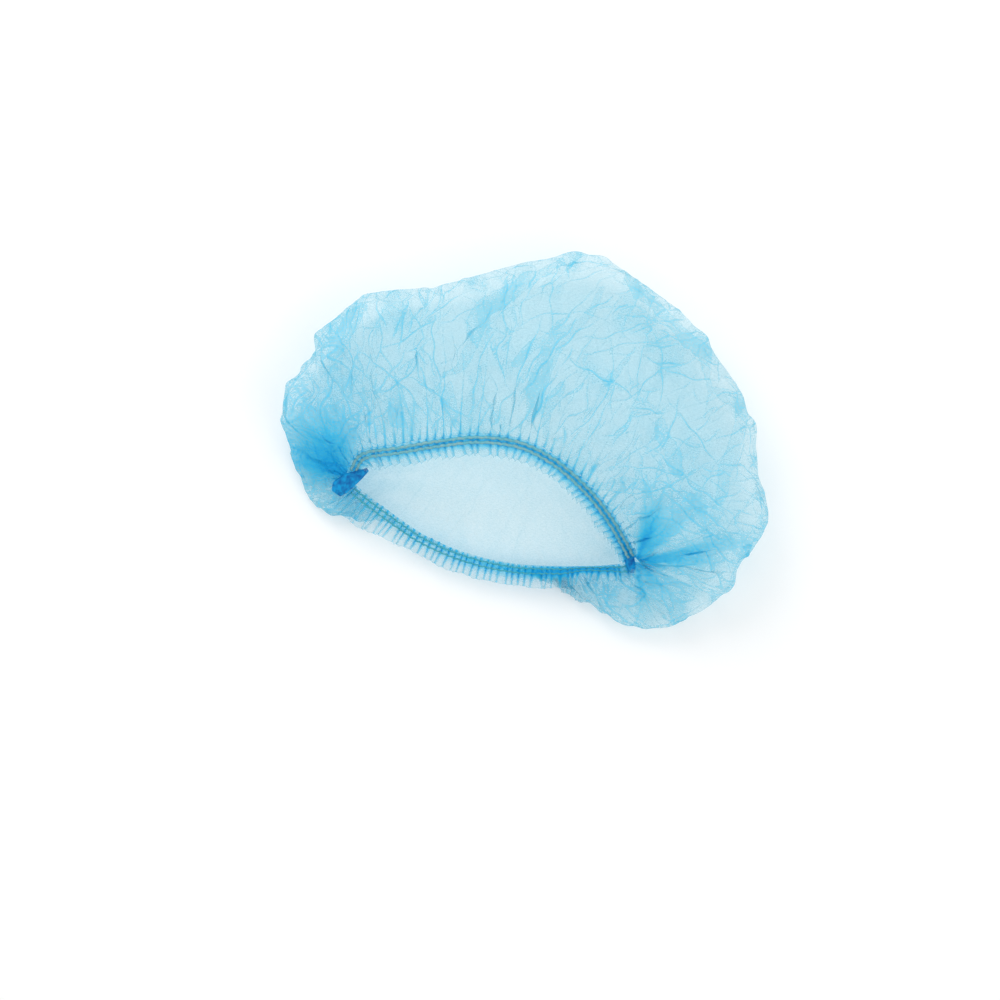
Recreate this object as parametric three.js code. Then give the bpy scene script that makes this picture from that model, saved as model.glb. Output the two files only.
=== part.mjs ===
// A disposable hairnet: a bouffant cap of thin non-woven cloth, lying on its back on a flat surface.
// Millimetres. +X runs along the mouth, the mouth opens towards -Y and up, and +Z is up from the surface.
// The mouth has two arcs, a raised upper one and a low lower one, that meet at the two end seams.
import * as THREE from "three";

// The bag as it lies
const BAG_LENGTH = 326;
const BAG_DEPTH = 226;
const BAG_HEIGHT = 106;

// Cloth, and the gap between pieces that touch
const CLOTH_WALL = 1.2;
const CLEARANCE = 0.3;

// The mouth's two arcs: how far each bows in plan and in height from the line between the end seams
const MOUTH_LENGTH = 200;
const UPPER_ARC_BOW = 55;
const UPPER_ARC_RISE = 62;
const LOWER_ARC_BOW = 26.5;
const LOWER_ARC_DROP = 8;
const SEAM_HEIGHT = 18;

// The bag rolls over by this much past the lower arc before it turns under, and dips beneath the lower hem
const EDGE_ROLL = 3.5;
const TUCK_DEPTH = 4;
const TUCK_REACH = 6;

// The end seams, where both arcs are welded together
const SEAM_LENGTH = 17;
const SEAM_TIP = 4;
const SEAM_THICKNESS = 2.4;

// The ruffled hems beyond the elastic threads
const FRILL_WIDTH = 12;
const PLEAT_PITCH = 7.8;
const PLEAT_ROOT_DEPTH = 0.6;
const PLEAT_EDGE_DEPTH = 2.4;

// The elastic threads, two on each hem, measured from the bag's edge. They lap over the end seams.
const ELASTIC_DIAMETER = 1.2;
const ELASTIC_INSET = 1.9;
const ELASTIC_SPACING = 3.4;
const ELASTIC_LAP = 4;

// Gathers in the bag beside the mouth
const GATHER_DEPTH = 1.5;
const GATHER_REACH = 18;

// How soon the cloth swells up from each arc
const UPPER_SWELL = 15;
const LOWER_SWELL = 28;

// The fineness of the meshes
const UPPER_COLUMNS = 56;
const LOWER_COLUMNS = 36;
const COLUMNS_PER_GATHER = 4;
const TOP_ROWS = 10;
const FLOOR_ROWS = 2;
const COLUMNS_PER_PLEAT = 4;
const HEM_ROWS = 3;
const ELASTIC_STEPS = 40;
const ELASTIC_SIDES = 6;
const SEAM_STEPS = 4;

// Where the mouth's middle lies, as shares of the bag's length and depth
const MOUTH_PLACE = { x: -0.028, y: -0.313 };

// The mouth's arcs, from the left end seam to the right one. across is a share of the mouth's length, bow
// and rise are shares of how far that arc bows in plan and in height.
const UPPER_ARC_ROWS = [
  { across: -0.5, bow: 0, rise: 0 },
  { across: -0.497, bow: 0.19, rise: 0.13 },
  { across: -0.472, bow: 0.36, rise: 0.3 },
  { across: -0.36, bow: 0.55, rise: 0.56 },
  { across: -0.236, bow: 0.76, rise: 0.8 },
  { across: -0.114, bow: 0.93, rise: 0.95 },
  { across: 0.014, bow: 1.0, rise: 1.0 },
  { across: 0.139, bow: 0.922, rise: 0.93 },
  { across: 0.276, bow: 0.696, rise: 0.7 },
  { across: 0.382, bow: 0.423, rise: 0.42 },
  { across: 0.465, bow: 0.139, rise: 0.14 },
  { across: 0.5, bow: 0, rise: 0 },
];
const LOWER_ARC_ROWS = [
  { across: -0.5, bow: 0, rise: 0 },
  { across: -0.43, bow: 0.25, rise: 0.3 },
  { across: -0.33, bow: 0.54, rise: 0.6 },
  { across: -0.2, bow: 0.86, rise: 0.9 },
  { across: -0.05, bow: 1.0, rise: 1.0 },
  { across: 0.1, bow: 0.94, rise: 1.0 },
  { across: 0.25, bow: 0.7, rise: 0.8 },
  { across: 0.4, bow: 0.36, rise: 0.4 },
  { across: 0.5, bow: 0, rise: 0 },
];

// The bag's outline from above, from beside the left end seam round the back and on round the front.
// x and y are shares of its length and depth. edge is the height of its widest line and crest is the
// height that its top swells to, as shares of its height.
const OUTLINE = [
  { x: -0.46, y: -0.283, edge: 0.12, crest: 0.34 },
  { x: -0.493, y: -0.125, edge: 0.19, crest: 0.49 },
  { x: -0.463, y: 0.0, edge: 0.21, crest: 0.55 },
  { x: -0.44, y: 0.112, edge: 0.23, crest: 0.61 },
  { x: -0.389, y: 0.204, edge: 0.23, crest: 0.66 },
  { x: -0.314, y: 0.262, edge: 0.22, crest: 0.7 },
  { x: -0.248, y: 0.3, edge: 0.23, crest: 0.77 },
  { x: -0.155, y: 0.388, edge: 0.27, crest: 0.88 },
  { x: -0.056, y: 0.462, edge: 0.29, crest: 0.96 },
  { x: 0.037, y: 0.498, edge: 0.29, crest: 1.0 },
  { x: 0.135, y: 0.46, edge: 0.28, crest: 0.98 },
  { x: 0.239, y: 0.392, edge: 0.27, crest: 0.93 },
  { x: 0.343, y: 0.286, edge: 0.27, crest: 0.87 },
  { x: 0.411, y: 0.155, edge: 0.26, crest: 0.82 },
  { x: 0.469, y: 0.013, edge: 0.26, crest: 0.76 },
  { x: 0.5, y: -0.127, edge: 0.25, crest: 0.7 },
  { x: 0.471, y: -0.248, edge: 0.22, crest: 0.61 },
  { x: 0.423, y: -0.407, edge: 0.16, crest: 0.42 },
  { x: 0.319, y: -0.491, edge: 0.1, crest: 0.25 },
  { x: 0.196, y: -0.471, edge: 0.075, crest: 0.16 },
  { x: 0.092, y: -0.436, edge: 0.055, crest: 0.1 },
  { x: -0.015, y: -0.445, edge: 0.05, crest: 0.09 },
  { x: -0.11, y: -0.44, edge: 0.05, crest: 0.09 },
  { x: -0.19, y: -0.42, edge: 0.05, crest: 0.1 },
  { x: -0.27, y: -0.41, edge: 0.05, crest: 0.1 },
  { x: -0.383, y: -0.403, edge: 0.06, crest: 0.13 },
];
const RIGHT_SEAM_ROW = 16;

// Folds and dents of the bag. rim and rear are places along the mouth and along the outline, from 0 at the
// left end seam to 1 at the right one over the top, and on to 2 round the front. from and to are shares of
// the way from mouth to outline, width is in the same shares as rim, and depth is a share of the height.
const FOLDS = [
  { rim: 0.3, rear: 0.5, from: 0.08, to: 1.0, width: 0.024, depth: -0.07 },
  { rim: 0.36, rear: 0.56, from: 0.1, to: 1.0, width: 0.024, depth: 0.05 },
  { rim: 0.55, rear: 0.62, from: 0.1, to: 1.0, width: 0.022, depth: -0.055 },
  { rim: 0.6, rear: 0.67, from: 0.2, to: 0.95, width: 0.022, depth: 0.04 },
  { rim: 0.72, rear: 0.73, from: 0.2, to: 1.0, width: 0.022, depth: -0.05 },
  { rim: 0.84, rear: 0.8, from: 0.15, to: 1.0, width: 0.022, depth: -0.06 },
  { rim: 0.91, rear: 0.88, from: 0.15, to: 1.0, width: 0.022, depth: 0.04 },
  { rim: 0.96, rear: 0.95, from: 0.1, to: 1.0, width: 0.02, depth: -0.055 },
  { rim: 1.05, rear: 1.06, from: 0.1, to: 1.0, width: 0.026, depth: -0.05 },
  { rim: 1.14, rear: 1.16, from: 0.15, to: 1.0, width: 0.03, depth: 0.03 },
  { rim: 0.04, rear: 0.04, from: 0.1, to: 1.0, width: 0.022, depth: -0.05 },
  { rim: 0.1, rear: 0.13, from: 0.1, to: 1.0, width: 0.022, depth: 0.04 },
  { rim: 0.17, rear: 0.23, from: 0.1, to: 1.0, width: 0.024, depth: -0.06 },
  { rim: 0.23, rear: 0.33, from: 0.15, to: 1.0, width: 0.026, depth: 0.04 },
];

// The hems along each arc, from the left end seam to the right one. width is a share of the frill's width,
// and tilt is how steeply the frill rises from level, in degrees.
const UPPER_HEM = [
  { along: 0, width: 0.85, tilt: -10 },
  { along: 0.15, width: 1.0, tilt: -20 },
  { along: 0.5, width: 1.05, tilt: -22 },
  { along: 0.85, width: 1.0, tilt: -20 },
  { along: 1, width: 0.85, tilt: -10 },
];
const LOWER_HEM = [
  { along: 0, width: 1.75, tilt: 8 },
  { along: 0.12, width: 1.7, tilt: 8 },
  { along: 0.28, width: 1.15, tilt: 10 },
  { along: 0.6, width: 1.1, tilt: 14 },
  { along: 0.74, width: 1.15, tilt: 35 },
  { along: 0.84, width: 1.3, tilt: 80 },
  { along: 0.9, width: 1.1, tilt: 55 },
  { along: 0.96, width: 1.0, tilt: 15 },
  { along: 1, width: 1.0, tilt: 10 },
];

const MATERIALS = {
  cloth: new THREE.MeshStandardMaterial({ color: 0xcdeaf5, roughness: 0.85, metalness: 0 }),
  frill: new THREE.MeshStandardMaterial({ color: 0x9ad6ee, roughness: 0.85, metalness: 0 }),
  elastic: new THREE.MeshStandardMaterial({ color: 0x9cc4c6, roughness: 0.7, metalness: 0 }),
  weld: new THREE.MeshStandardMaterial({ color: 0x2a9fd2, roughness: 0.45, metalness: 0 }),
};

const lerp = THREE.MathUtils.lerp;
const clamp = THREE.MathUtils.clamp;

// One arc of the mouth, as a smooth curve through its rows.
function mouthArc(rows, bow, rise) {
  const points = rows.map(
    (row) =>
      new THREE.Vector3(
        MOUTH_PLACE.x * BAG_LENGTH + row.across * MOUTH_LENGTH,
        MOUTH_PLACE.y * BAG_DEPTH + row.bow * bow,
        SEAM_HEIGHT + row.rise * rise,
      ),
  );
  return new THREE.CatmullRomCurve3(points);
}

const UPPER_ARC = mouthArc(UPPER_ARC_ROWS, UPPER_ARC_BOW, UPPER_ARC_RISE);
const LOWER_ARC = mouthArc(LOWER_ARC_ROWS, -LOWER_ARC_BOW, -LOWER_ARC_DROP);

// A smooth value between the rows of a closed table, by Catmull and Rom's rule.
function betweenRows(rows, column, place) {
  const row = Math.floor(place);
  const f = place - row;
  const value = (k) => rows[(row + k + rows.length) % rows.length][column];
  const [a, b, c, d] = [-1, 0, 1, 2].map(value);
  return b + 0.5 * f * (c - a + f * (2 * a - 5 * b + 4 * c - d + f * (3 * (b - c) + d - a)));
}

// A value between the stations of a hem, eased from one station to the next.
function alongHem(stations, column, along) {
  const next = stations.findIndex((station) => station.along >= along);
  if (next <= 0) return stations[Math.max(next, 0)][column];
  const [before, after] = [stations[next - 1], stations[next]];
  const f = (along - before.along) / (after.along - before.along);
  return lerp(before[column], after[column], f * f * (3 - 2 * f));
}

// The gathers crowd the bag's columns towards the end seams.
function crowded(share) {
  return 0.35 * share + 0.325 * (1 - Math.cos(Math.PI * share));
}

// The columns of the bag, each from a point on the mouth to a point on the outline.
function bagColumns() {
  const columns = [];
  const add = (arc, swell, tuck, rimShare, station, place, gather) => {
    const rim = arc.getPointAt(rimShare);
    const edge = new THREE.Vector3(
      betweenRows(OUTLINE, "x", place) * BAG_LENGTH,
      betweenRows(OUTLINE, "y", place) * BAG_DEPTH,
      betweenRows(OUTLINE, "edge", place) * BAG_HEIGHT,
    );
    const besideArc = Math.abs(edge.x - MOUTH_PLACE.x * BAG_LENGTH) < 0.45 * MOUTH_LENGTH;
    if (arc === LOWER_ARC && besideArc) edge.y = Math.min(edge.y, rim.y - EDGE_ROLL);
    const crest = betweenRows(OUTLINE, "crest", place) * BAG_HEIGHT;
    columns.push({ rim, edge, crest, swell, tuck, station, gather });
  };
  for (let i = 0; i < UPPER_COLUMNS; i++) {
    const share = i / UPPER_COLUMNS;
    add(UPPER_ARC, UPPER_SWELL, 0, crowded(share), share, share * RIGHT_SEAM_ROW, i);
  }
  const frontRows = OUTLINE.length - RIGHT_SEAM_ROW;
  for (let i = 0; i < LOWER_COLUMNS; i++) {
    const share = i / LOWER_COLUMNS;
    const place = RIGHT_SEAM_ROW + share * frontRows;
    const tuck = TUCK_DEPTH * Math.sin(Math.PI * share) ** 0.5;
    add(LOWER_ARC, LOWER_SWELL, tuck, 1 - crowded(share), 1 + share, place, i);
  }
  return columns;
}

// How far the folds and gathers move the cloth at a share of the way from the mouth to the outline.
function relief(column, share, reach) {
  const height = FOLDS.reduce((sum, fold) => {
    const middle = lerp(fold.rim, fold.rear, share);
    const off = Math.abs(column.station - middle);
    const aside = Math.min(off, 2 - off) / fold.width;
    const through = clamp((share - fold.from) / (fold.to - fold.from), 0, 1);
    return sum + fold.depth * BAG_HEIGHT * Math.exp(-aside * aside) * Math.sin(Math.PI * through) ** 2;
  }, 0);
  const near = (share * reach) / GATHER_REACH;
  const wave = Math.cos((2 * Math.PI * column.gather) / COLUMNS_PER_GATHER);
  const room = Math.min(1, reach / (2 * GATHER_REACH));
  return height * room + GATHER_DEPTH * room * wave * near * Math.exp(1 - near);
}

// One point of a column's top, where turn goes from 0 at the mouth to a quarter turn at the outline.
function topPoint(column, turn) {
  const { rim, edge, crest, swell, tuck } = column;
  const share = Math.sin(turn) ** 0.8;
  const reach = Math.hypot(edge.x - rim.x, edge.y - rim.y);
  const near = (share * reach) / TUCK_REACH;
  const swollen = crest - (crest - rim.z) * Math.exp((-share * reach) / swell);
  const roof = swollen - tuck * near * Math.exp(1 - near);
  const height = edge.z + (roof - edge.z) * Math.cos(turn) + relief(column, share, reach);
  return new THREE.Vector3(lerp(rim.x, edge.x, share), lerp(rim.y, edge.y, share), height);
}

// The bag's outer rings, from the mouth over the top, round the widest line and in across the floor.
function bagRings(columns, middle) {
  const rings = [];
  for (let row = 0; row <= TOP_ROWS; row++) {
    const turn = (Math.PI / 2) * (row / TOP_ROWS) ** 2;
    rings.push(columns.map((column) => topPoint(column, turn)));
  }
  const under = (column, turn) => {
    const inset = 0.75 * column.edge.z * (1 - Math.cos(turn));
    const inward = middle.clone().sub(column.edge).setZ(0).normalize();
    const point = column.edge.clone().addScaledVector(inward, inset);
    return point.setZ(column.edge.z * (1 - Math.sin(turn)));
  };
  rings.push(columns.map((column) => under(column, Math.PI / 4)));
  const floor = columns.map((column) => under(column, Math.PI / 2));
  for (let row = 0; row < FLOOR_ROWS; row++) {
    rings.push(floor.map((point) => point.clone().lerp(middle, row / FLOOR_ROWS)));
  }
  return rings;
}

// The direction square to a grid of points at one of them, from its neighbours.
function squareTo(grid, row, column, wraps) {
  const last = grid[row].length - 1;
  const before = wraps ? (column + last) % (last + 1) : Math.max(column - 1, 0);
  const after = wraps ? (column + 1) % (last + 1) : Math.min(column + 1, last);
  const up = grid[Math.min(row + 1, grid.length - 1)][column].clone();
  const along = grid[row][after].clone().sub(grid[row][before]);
  return up.sub(grid[Math.max(row - 1, 0)][column]).cross(along).normalize();
}

// The same grid moved square to itself by a distance.
function moved(grid, distance, wraps) {
  return grid.map((ring, row) =>
    ring.map((point, column) => point.clone().addScaledVector(squareTo(grid, row, column, wraps), distance)),
  );
}

// A closed sheet between a front and a back grid. With poles, it joins its last column to its first and
// closes its last ring with a fan to a pole on each side. Without, it is closed round its whole border.
function sheetGeometry(front, back, poles) {
  const rows = front.length;
  const columns = front[0].length;
  const points = [...front.flat(), ...back.flat()];
  const index = [];
  const at = (side, row, column) => (side * rows + row) * columns + (column % columns);
  const quad = (a, b, c, d) => index.push(a, b, c, a, c, d);
  const steps = poles ? columns : columns - 1;
  for (let c = 0; c < steps; c++) {
    for (let r = 0; r < rows - 1; r++) {
      quad(at(0, r, c), at(0, r + 1, c), at(0, r + 1, c + 1), at(0, r, c + 1));
      quad(at(1, r, c), at(1, r, c + 1), at(1, r + 1, c + 1), at(1, r + 1, c));
    }
    quad(at(0, 0, c), at(0, 0, c + 1), at(1, 0, c + 1), at(1, 0, c));
    if (!poles) quad(at(0, rows - 1, c), at(1, rows - 1, c), at(1, rows - 1, c + 1), at(0, rows - 1, c + 1));
  }
  if (poles) {
    points.push(...poles);
    const pole = 2 * rows * columns;
    for (let c = 0; c < columns; c++) {
      index.push(at(0, rows - 1, c), pole, at(0, rows - 1, c + 1));
      index.push(at(1, rows - 1, c), at(1, rows - 1, c + 1), pole + 1);
    }
  } else {
    for (let r = 0; r < rows - 1; r++) {
      quad(at(0, r, 0), at(1, r, 0), at(1, r + 1, 0), at(0, r + 1, 0));
      quad(at(0, r, steps), at(0, r + 1, steps), at(1, r + 1, steps), at(1, r, steps));
    }
  }
  return new THREE.BufferGeometry().setFromPoints(points).setIndex(index);
}

// The bag: one sheet of cloth from the mouth round to the floor, open at the mouth.
function crown() {
  const columns = bagColumns();
  const middle = columns.reduce((sum, column) => sum.add(column.edge), new THREE.Vector3());
  middle.divideScalar(columns.length).setZ(0);
  const outer = bagRings(columns, middle);
  const inner = moved(outer, CLOTH_WALL, true);
  return sheetGeometry(inner, outer, [middle.clone().setZ(CLOTH_WALL), middle]);
}

// The hem's root stands clear of the bag's edge: its pleats' lowest ridges are level with that edge.
const HEM_LIFT = CLOTH_WALL / 2 + PLEAT_ROOT_DEPTH;

// The directions of a hem at a place on its arc: along it, out across the frill, and up off the frill.
function hemFrame(arc, stations, share) {
  const along = arc.getTangentAt(share);
  const tilt = THREE.MathUtils.degToRad(alongHem(stations, "tilt", share));
  const across = new THREE.Vector3(along.y, -along.x, 0).normalize().multiplyScalar(Math.cos(tilt));
  across.z = Math.sin(tilt);
  across.addScaledVector(along, -across.dot(along)).normalize();
  return { along, across, up: new THREE.Vector3().crossVectors(across, along) };
}

// A point over a hem, by its distance from the bag's edge and its height off the frill's middle.
function hemPoint(arc, stations, share, distance, height) {
  const { across, up } = hemFrame(arc, stations, share);
  return arc.getPointAt(share).addScaledVector(across, distance).addScaledVector(up, HEM_LIFT + height);
}

// A ruffled hem: a pleated strip from the bag's edge out to a free edge, between the two end seams.
function hem(arc, stations) {
  const margin = (SEAM_LENGTH + CLEARANCE) / arc.getLength();
  const pleats = Math.round((arc.getLength() * (1 - 2 * margin)) / PLEAT_PITCH);
  const steps = pleats * COLUMNS_PER_PLEAT;
  const flat = 2 * ELASTIC_INSET + ELASTIC_SPACING;
  const root = CLEARANCE + CLOTH_WALL / 2;
  const grid = [];
  for (let row = 0; row <= HEM_ROWS; row++) {
    const points = [];
    for (let step = 0; step <= steps; step++) {
      const share = lerp(margin, 1 - margin, step / steps);
      const width = FRILL_WIDTH * alongHem(stations, "width", share);
      const distance = row === 0 ? root : lerp(flat, Math.max(width, flat), (row - 1) / (HEM_ROWS - 1));
      const loose = clamp((distance - flat) / Math.max(width - flat, 1), 0, 1);
      const depth = lerp(PLEAT_ROOT_DEPTH, PLEAT_EDGE_DEPTH, loose);
      const wave = Math.sin((2 * Math.PI * step) / COLUMNS_PER_PLEAT);
      points.push(hemPoint(arc, stations, share, distance, depth * wave));
    }
    grid.push(points);
  }
  return sheetGeometry(moved(grid, CLOTH_WALL / 2, false), moved(grid, -CLOTH_WALL / 2, false));
}

// An elastic thread that lies on the ridges of a hem, at a distance from the bag's edge.
function elastic(arc, stations, distance) {
  const margin = (SEAM_LENGTH - ELASTIC_LAP) / arc.getLength();
  const height = CLOTH_WALL / 2 + PLEAT_ROOT_DEPTH + CLEARANCE + ELASTIC_DIAMETER / 2;
  const route = [];
  for (let i = 0; i <= ELASTIC_STEPS; i++) {
    const share = lerp(margin, 1 - margin, i / ELASTIC_STEPS);
    route.push(hemPoint(arc, stations, share, distance, height));
  }
  const section = new THREE.Shape();
  for (let i = 0; i < ELASTIC_SIDES; i++) {
    const angle = (2 * Math.PI * i) / ELASTIC_SIDES;
    const [x, y] = [Math.cos(angle) * ELASTIC_DIAMETER * 0.5, Math.sin(angle) * ELASTIC_DIAMETER * 0.5];
    if (i === 0) section.moveTo(x, y);
    else section.lineTo(x, y);
  }
  const extrudePath = new THREE.CatmullRomCurve3(route);
  return new THREE.ExtrudeGeometry(section, { extrudePath, steps: ELASTIC_STEPS });
}

// An end seam: the flattened web of welded cloth in a corner of the mouth, between the two arcs.
function endSeam(side) {
  const grid = [[], []];
  const inset = CLEARANCE + CLOTH_WALL / 2;
  const pointOn = (arc, distance) => {
    const share = distance / arc.getLength();
    return arc.getPointAt(side < 0 ? share : 1 - share);
  };
  for (let step = 0; step <= SEAM_STEPS; step++) {
    const distance = lerp(SEAM_TIP, SEAM_LENGTH, step / SEAM_STEPS);
    const upper = pointOn(UPPER_ARC, distance);
    const lower = pointOn(LOWER_ARC, distance);
    const between = lower.clone().sub(upper).normalize().multiplyScalar(inset);
    grid[0].push(upper.clone().add(between));
    grid[1].push(lower.clone().sub(between));
  }
  if (side > 0) grid.forEach((row) => row.reverse());
  const half = SEAM_THICKNESS / 2;
  return sheetGeometry(moved(grid, half, false), moved(grid, -half, false));
}

const hairnet = new THREE.Group();

function add(name, geometry, material) {
  geometry.computeVertexNormals();
  const mesh = new THREE.Mesh(geometry, material);
  mesh.name = name;
  hairnet.add(mesh);
}

add("crown", crown(), MATERIALS.cloth);
add("hem_upper", hem(UPPER_ARC, UPPER_HEM), MATERIALS.frill);
add("hem_lower", hem(LOWER_ARC, LOWER_HEM), MATERIALS.frill);
for (const [name, arc, stations] of [
  ["upper", UPPER_ARC, UPPER_HEM],
  ["lower", LOWER_ARC, LOWER_HEM],
]) {
  add(`elastic_${name}_inner`, elastic(arc, stations, ELASTIC_INSET), MATERIALS.elastic);
  const outer = ELASTIC_INSET + ELASTIC_SPACING;
  add(`elastic_${name}_outer`, elastic(arc, stations, outer), MATERIALS.elastic);
}
add("end_seam_left", endSeam(-1), MATERIALS.weld);
add("end_seam_right", endSeam(1), MATERIALS.weld);

export default hairnet;
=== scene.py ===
# A disposable hairnet lying on its back, seen from above: crinkled see-through cloth, ruffled hems,
# elastic threads and welded corners. Shapes are worked out in millimetres and made in metres.
import math
import bmesh
import bpy
import numpy as np
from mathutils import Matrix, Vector


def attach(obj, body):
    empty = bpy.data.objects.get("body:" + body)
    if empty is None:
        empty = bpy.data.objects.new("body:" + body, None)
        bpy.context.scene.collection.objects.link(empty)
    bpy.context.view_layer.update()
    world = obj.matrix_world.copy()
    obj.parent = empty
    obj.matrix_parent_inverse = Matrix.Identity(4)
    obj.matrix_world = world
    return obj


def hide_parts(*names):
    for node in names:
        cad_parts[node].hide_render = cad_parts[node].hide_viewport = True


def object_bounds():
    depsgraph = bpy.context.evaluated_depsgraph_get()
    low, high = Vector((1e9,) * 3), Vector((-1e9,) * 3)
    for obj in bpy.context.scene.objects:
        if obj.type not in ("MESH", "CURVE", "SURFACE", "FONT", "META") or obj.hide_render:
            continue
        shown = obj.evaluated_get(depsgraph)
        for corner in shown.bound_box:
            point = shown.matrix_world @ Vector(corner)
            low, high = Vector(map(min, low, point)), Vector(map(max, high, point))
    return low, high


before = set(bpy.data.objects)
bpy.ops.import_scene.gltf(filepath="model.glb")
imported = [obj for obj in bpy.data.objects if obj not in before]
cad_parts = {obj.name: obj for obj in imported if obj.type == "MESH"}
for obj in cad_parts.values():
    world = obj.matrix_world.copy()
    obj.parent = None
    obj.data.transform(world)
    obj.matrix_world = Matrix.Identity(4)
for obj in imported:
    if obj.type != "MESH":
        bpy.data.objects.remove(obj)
cad_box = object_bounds()

MM = 0.001
RNG = np.random.default_rng(7)

# The bag and its mouth, as the frame has them
BAG_LENGTH, BAG_DEPTH, BAG_HEIGHT = 326.0, 226.0, 106.0
MOUTH_LENGTH = 200.0
UPPER_ARC_BOW, UPPER_ARC_RISE = 55.0, 62.0
LOWER_ARC_BOW, LOWER_ARC_DROP = 26.5, 8.0
SEAM_HEIGHT = 18.0
EDGE_ROLL, TUCK_DEPTH, TUCK_REACH = 3.5, 4.0, 6.0
SEAM_LENGTH = 17.0
FRILL_WIDTH = 12.0
UPPER_PLEAT_PITCH, LOWER_PLEAT_PITCH = 6.2, 4.4
ELASTIC_DIAMETER, ELASTIC_INSET, ELASTIC_SPACING = 1.2, 1.9, 3.4
UPPER_SWELL, LOWER_SWELL = 15.0, 28.0
MOUTH_X, MOUTH_Y = -0.028 * BAG_LENGTH, -0.313 * BAG_DEPTH

# How high the threads stand over the mouth's line, and their twist in radians a millimetre
THREAD_STAND, THREAD_TWIST = 1.25, 0.8

# The mouth's arcs as (across, bow, rise): shares of the mouth's length and of each arc's bow and rise
UPPER_ARC_ROWS = [
    (-0.5, 0.0, 0.0), (-0.497, 0.19, 0.13), (-0.472, 0.36, 0.3), (-0.36, 0.55, 0.56),
    (-0.236, 0.76, 0.8), (-0.114, 0.93, 0.95), (0.014, 1.0, 1.0), (0.139, 0.922, 0.93),
    (0.276, 0.696, 0.7), (0.382, 0.423, 0.42), (0.465, 0.139, 0.14), (0.5, 0.0, 0.0),
]
LOWER_ARC_ROWS = [
    (-0.5, 0.0, 0.0), (-0.43, 0.25, 0.3), (-0.33, 0.54, 0.6), (-0.2, 0.86, 0.9), (-0.05, 1.0, 1.0),
    (0.1, 0.94, 1.0), (0.25, 0.7, 0.8), (0.4, 0.36, 0.4), (0.5, 0.0, 0.0),
]

# The bag's outline as (x, y, edge height, crest height), shares of its length, depth and height
OUTLINE = np.array([
    (-0.46, -0.283, 0.12, 0.34), (-0.493, -0.125, 0.19, 0.49), (-0.463, 0.0, 0.21, 0.55),
    (-0.44, 0.112, 0.23, 0.61), (-0.389, 0.204, 0.23, 0.66), (-0.314, 0.262, 0.22, 0.7),
    (-0.248, 0.3, 0.23, 0.77), (-0.155, 0.388, 0.27, 0.88), (-0.056, 0.462, 0.29, 0.96),
    (0.037, 0.498, 0.29, 1.0), (0.135, 0.46, 0.28, 0.98), (0.239, 0.392, 0.27, 0.93),
    (0.343, 0.286, 0.27, 0.87), (0.411, 0.155, 0.26, 0.82), (0.469, 0.013, 0.26, 0.76),
    (0.5, -0.127, 0.25, 0.7), (0.471, -0.248, 0.22, 0.61), (0.423, -0.407, 0.16, 0.42),
    (0.319, -0.491, 0.1, 0.25), (0.196, -0.471, 0.075, 0.16), (0.092, -0.436, 0.055, 0.1),
    (-0.015, -0.445, 0.05, 0.09), (-0.11, -0.44, 0.05, 0.09), (-0.19, -0.42, 0.05, 0.1),
    (-0.27, -0.41, 0.05, 0.1), (-0.383, -0.403, 0.06, 0.13),
])
RIGHT_SEAM_ROW = 16

# The main folds as (rim, rear, from, to, width, depth), as the frame has them
FOLDS = [
    (0.3, 0.5, 0.08, 1.0, 0.024, -0.07), (0.36, 0.56, 0.1, 1.0, 0.024, 0.05),
    (0.55, 0.62, 0.1, 1.0, 0.022, -0.055), (0.6, 0.67, 0.2, 0.95, 0.022, 0.04),
    (0.72, 0.73, 0.2, 1.0, 0.022, -0.05), (0.84, 0.8, 0.15, 1.0, 0.022, -0.06),
    (0.91, 0.88, 0.15, 1.0, 0.022, 0.04), (0.96, 0.95, 0.1, 1.0, 0.02, -0.055),
    (1.05, 1.06, 0.1, 1.0, 0.026, -0.05), (1.14, 1.16, 0.15, 1.0, 0.03, 0.03),
    (0.04, 0.04, 0.1, 1.0, 0.022, -0.05), (0.1, 0.13, 0.1, 1.0, 0.022, 0.04),
    (0.17, 0.23, 0.1, 1.0, 0.024, -0.06), (0.23, 0.33, 0.15, 1.0, 0.026, 0.04),
]

# How deep inside an overlap a point counts that is far from all of them
FAR_OUTSIDE = -12.0

# Flat overlaps where the roof's cloth is folded over on itself: half width, then the line as (x, y)
OVERLAPS = [
    (5.0, [(-13, 103), (-30, 83), (-42, 68), (-52, 59), (-55, 49), (-53, 32), (-57, 17), (-64, 10)]),
    (6.0, [(18, 92), (14, 75), (10, 65), (-1, 47), (-5, 29), (-5, 17), (-4, -1)]),
    (2.6, [(2, 68), (-4, 56), (-18, 39), (-22, 29)]),
    (3.8, [(9, 23), (5, 8), (8, -10)]),
    (2.6, [(48, 61), (42, 44), (37, 34)]),
    (3.4, [(31, 103), (43, 95), (53, 92), (69, 83), (82, 75), (93, 70), (102, 48), (103, 30)]),
    (6.0, [(128, 43), (127, 18), (126, 0), (128, -17)]),
    (4.0, [(140, -14), (141, -24), (142, -34)]),
    (5.0, [(105, 49), (124, 47)]),
    (5.0, [(77, 19), (88, 3), (95, -9)]),
    (4.6, [(50, -32), (74, -22), (83, -26)]),
    (4.0, [(-127, 39), (-135, 16), (-138, 3)]),
    (4.0, [(-60, 7), (-56, -7), (-53, -19)]),
    (3.0, [(-94, -3), (-90, -16), (-86, -28)]),
]

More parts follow.
